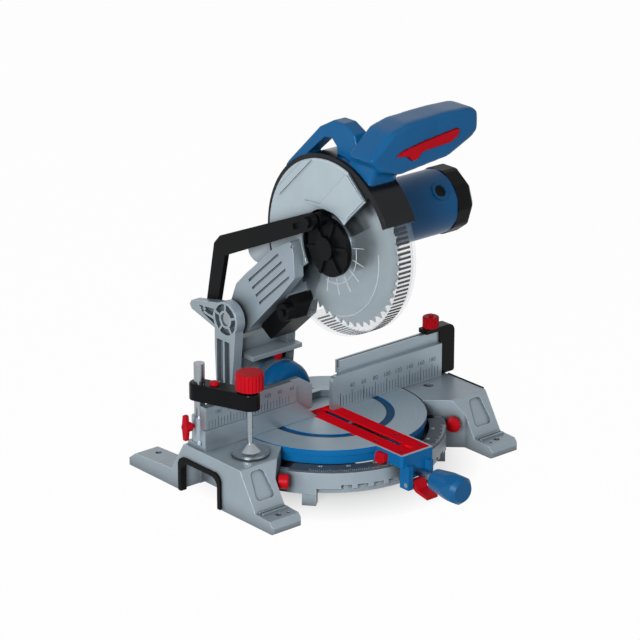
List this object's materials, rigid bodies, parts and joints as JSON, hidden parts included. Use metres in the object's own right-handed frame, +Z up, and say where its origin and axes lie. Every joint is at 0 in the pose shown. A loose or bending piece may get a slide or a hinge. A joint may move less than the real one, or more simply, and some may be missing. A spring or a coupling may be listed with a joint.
{
  "type": "mitre saw",
  "caption": "Bench-top compound mitre saw: footed base, turning table with fences, tilting column and a hinged head with a guarded circular blade, motor and handle.",
  "frame": {"origin": "on the turntable's pivot axis, in the plane of the feet's undersides, at the centre of the four bench-bolt holes", "axes": "+X to the operator's right along the fence, -Y towards the operator, +Z up along the turntable's pivot"},
  "size_m": [0.44, 0.46, 0.4787],
  "materials": {
    "cast_aluminium": "silver-painted casting",
    "machined_aluminium": "machined and anodised",
    "blue_casting": "blue-painted casting",
    "blue_plastic": "moulded, satin",
    "red_plastic": "moulded, satin",
    "black_plastic": "moulded, fine texture",
    "black_rubber": "moulded",
    "graphite": "scale ring, dark grey",
    "steel": "bright steel",
    "blade_steel": "ground blade",
    "clear_guard": "clear polycarbonate",
    "guard_silver": "silver-painted guard",
    "grey_plastic": "light grey moulding",
    "copper": "wound rotor"
  },
  "bodies": {
    "base": {"base_casting": "cast_aluminium", "left_base_leg": "cast_aluminium", "right_base_leg": "cast_aluminium", "mitre_scale_ring": "graphite", "left_grip_trim": "black_rubber", "right_grip_trim": "black_rubber", "pivot_bolt": "steel", "fence_casting": "machined_aluminium", "fence_screws": "steel"},
    "turntable": {"turntable": "blue_casting", "table_insert": "red_plastic", "insert_screws": "steel", "mitre_pointer": "red_plastic", "bevel_scale": "machined_aluminium", "bevel_shaft": "steel", "lever_pin": "steel"},
    "mitre_lock": {"mitre_lock_rod": "steel", "mitre_lock_knob": "blue_plastic"},
    "detent": {"detent_lever": "red_plastic"},
    "bevel_lock": {"bevel_lock_lever": "black_plastic"},
    "column": {"tilt_column": "cast_aluminium", "bevel_pointer": "red_plastic", "chop_shaft": "steel", "link_pin": "steel"},
    "head": {"head_arm": "cast_aluminium", "rear_deflector": "black_plastic", "upper_guard": "guard_silver", "guard_rim": "black_plastic", "gear_case": "cast_aluminium", "motor_housing": "blue_plastic", "brush_caps": "black_plastic", "motor_end_cap": "black_plastic", "main_handle": "blue_plastic", "carry_handle": "blue_plastic", "dust_spout": "grey_plastic"},
    "blade": {"saw_blade": "blade_steel", "blade_flanges": "steel", "arbor_bolt": "steel", "drive_spindle": "steel"},
    "rotor": {"armature": "copper"},
    "lower_guard": {"lower_guard": "clear_guard", "guard_hub": "black_plastic"},
    "guard_link": {"guard_link": "black_plastic", "link_bolt": "steel"},
    "trigger": {"trigger": "red_plastic"},
    "left_fence": {"left_sliding_fence": "machined_aluminium"},
    "stop_rail": {"fence_rail": "machined_aluminium", "stop_bracket": "black_plastic"},
    "rail_knob": {"rail_lock_knob": "red_plastic"},
    "clamp_post": {"clamp_post": "steel"},
    "clamp_arm": {"clamp_arm": "black_plastic", "clamp_arm_screw": "red_plastic"},
    "clamp_screw": {"clamp_spindle": "steel", "clamp_knob": "red_plastic"},
    "clamp_wing": {"clamp_wing_screw": "red_plastic"},
    "left_lock": {"left_lock_knob": "red_plastic"},
    "right_lock": {"right_lock_knob": "red_plastic"}
  },
  "joints": [
    {"name": "mitre", "type": "hinge", "parent": "base", "child": "turntable", "pos_m": [0, 0, 0.05], "axis": [0, 0, 1], "range_deg": [-45, 45]},
    {"name": "mitre_lock_turn", "type": "hinge", "parent": "turntable", "child": "mitre_lock", "pos_m": [0, -0.172, 0.039], "axis": [0, -1, 0], "range_deg": [0, 180]},
    {"name": "detent_press", "type": "hinge", "parent": "turntable", "child": "detent", "pos_m": [0, -0.173, 0.026], "axis": [1, 0, 0], "range_deg": [0, 10], "stiffness_Nm_per_rad": 0.6, "springref_deg": -20.05},
    {"name": "bevel_lock_turn", "type": "hinge", "parent": "turntable", "child": "bevel_lock", "pos_m": [0, 0.15, 0.066], "axis": [0, 1, 0], "range_deg": [0, 40]},
    {"name": "bevel", "type": "hinge", "parent": "turntable", "child": "column", "pos_m": [0, 0.112, 0.066], "axis": [0, 1, 0], "range_deg": [-45, 0]},
    {"name": "chop", "type": "hinge", "parent": "column", "child": "head", "pos_m": [0, 0.13, 0.172], "axis": [1, 0, 0], "range_deg": [0, 45], "stiffness_Nm_per_rad": 9, "springref_deg": -108.86},
    {"name": "blade_spin", "type": "hinge", "parent": "head", "child": "blade", "pos_m": [0, -0.028, 0.304], "axis": [1, 0, 0], "continuous": true},
    {"name": "rotor_spin", "type": "hinge", "parent": "head", "child": "rotor", "pos_m": [0.1, 0.006, 0.3115], "axis": [1, 0, 0], "continuous": true},
    {"name": "guard_open", "type": "hinge", "parent": "head", "child": "lower_guard", "pos_m": [0, -0.028, 0.304], "axis": [1, 0, 0], "range_deg": [-151, 0]},
    {"name": "link_swing", "type": "hinge", "parent": "column", "child": "guard_link", "pos_m": [-0.047, 0.177, 0.174], "axis": [1, 0, 0], "range_deg": [0, 51]},
    {"name": "trigger_pull", "type": "slide", "parent": "head", "child": "trigger", "axis": [0, 1, 0], "range_m": [0, 0.004], "stiffness_N_per_m": 600, "springref_m": -0.004},
    {"name": "left_fence_slide", "type": "slide", "parent": "base", "child": "left_fence", "axis": [-1, 0, 0], "range_m": [0, 0.06]},
    {"name": "stop_rail_slide", "type": "slide", "parent": "base", "child": "stop_rail", "axis": [1, 0, 0], "range_m": [0, 0.1]},
    {"name": "rail_knob_turn", "type": "hinge", "parent": "stop_rail", "child": "rail_knob", "pos_m": [0.188, 0.0123, 0.14], "axis": [0, 0, 1], "range_deg": [0, 180]},
    {"name": "clamp_height", "type": "slide", "parent": "base", "child": "clamp_post", "axis": [0, 0, 1], "range_m": [0, 0.02]},
    {"name": "clamp_swing", "type": "hinge", "parent": "clamp_post", "child": "clamp_arm", "pos_m": [-0.191, 0.026, 0.14], "axis": [0, 0, 1], "range_deg": [-22, 6]},
    {"name": "clamp_feed", "type": "slide", "parent": "clamp_arm", "child": "clamp_screw", "axis": [0, 0, 1], "range_m": [-0.0015, 0.03]},
    {"name": "clamp_wing_turn", "type": "hinge", "parent": "base", "child": "clamp_wing", "pos_m": [-0.21, 0.026, 0.093], "axis": [-1, 0, 0], "range_deg": [0, 180]},
    {"name": "left_lock_turn", "type": "hinge", "parent": "base", "child": "left_lock", "pos_m": [-0.1495, -0.0756, 0.036], "axis": [0.676, -0.7369, 0], "range_deg": [0, 180]},
    {"name": "right_lock_turn", "type": "hinge", "parent": "base", "child": "right_lock", "pos_m": [0.1495, -0.0756, 0.036], "axis": [-0.676, -0.7369, 0], "range_deg": [0, 180]}
  ],
  "couplings": [
    {"joint": "rotor_spin", "follows": "blade_spin", "ratio": -4},
    {"joint": "guard_open", "follows": "chop", "ratio": -3.3333},
    {"joint": "link_swing", "follows": "chop", "ratio": 1.12}
  ]
}
